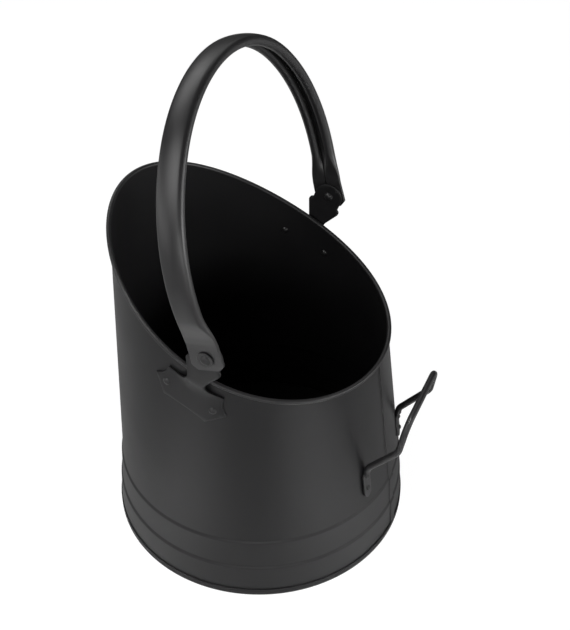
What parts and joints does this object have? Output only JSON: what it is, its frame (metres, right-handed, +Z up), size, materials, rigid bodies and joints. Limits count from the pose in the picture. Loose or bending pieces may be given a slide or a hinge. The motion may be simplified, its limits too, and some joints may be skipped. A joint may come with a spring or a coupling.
{
  "type": "coal scuttle",
  "caption": "Round sheet-steel fuel bucket with a slanted rolled mouth, a swinging folded bail on riveted ears and a fixed rod handle low on its back for tipping.",
  "frame": {"origin": "on the ground at the centre of the folded seam that the scuttle stands on", "axes": "+Z up, +Y towards the tipping handle at the back (the pouring lip faces -Y), +X right along the bail's pivot axis"},
  "size_m": [0.28, 0.2988, 0.4657],
  "materials": {
    "body_coat": "satin charcoal powder coat on sheet steel, slightly uneven",
    "floor_coat": "satin charcoal powder coat, dulled where it stands",
    "rim_coat": "satin charcoal powder coat, slightly rubbed along the rolled edge",
    "ear_coat": "satin charcoal powder coat on steel plate",
    "bail_coat": "smooth satin charcoal powder coat on rolled strip",
    "rod_coat": "satin charcoal powder coat on round rod",
    "rivet_coat": "charcoal powder coat over domed steel rivets",
    "wire_steel": "plain drawn steel wire, hidden in the rolled edge"
  },
  "bodies": {
    "bucket": {"body_wall": "body_coat", "base_pan": "floor_coat", "rim_roll": "rim_coat", "rim_wire": "wire_steel", "ear_left": "ear_coat", "ear_right": "ear_coat", "ear_rivet_left_front": "rivet_coat", "ear_rivet_left_rear": "rivet_coat", "ear_rivet_right_front": "rivet_coat", "ear_rivet_right_rear": "rivet_coat", "pivot_rivet_left": "rivet_coat", "pivot_rivet_right": "rivet_coat", "pivot_washer_left": "rivet_coat", "pivot_washer_right": "rivet_coat", "tipping_handle": "rod_coat", "handle_rivet_left_upper": "rivet_coat", "handle_rivet_left_lower": "rivet_coat", "handle_rivet_right_upper": "rivet_coat", "handle_rivet_right_lower": "rivet_coat"},
    "bail": {"bail": "bail_coat"}
  },
  "joints": [
    {"name": "bail_swing", "type": "hinge", "parent": "bucket", "child": "bail", "pos_m": [0, 0.01589, 0.27102], "axis": [1, 0, 0], "range_deg": [-140, 112]}
  ]
}
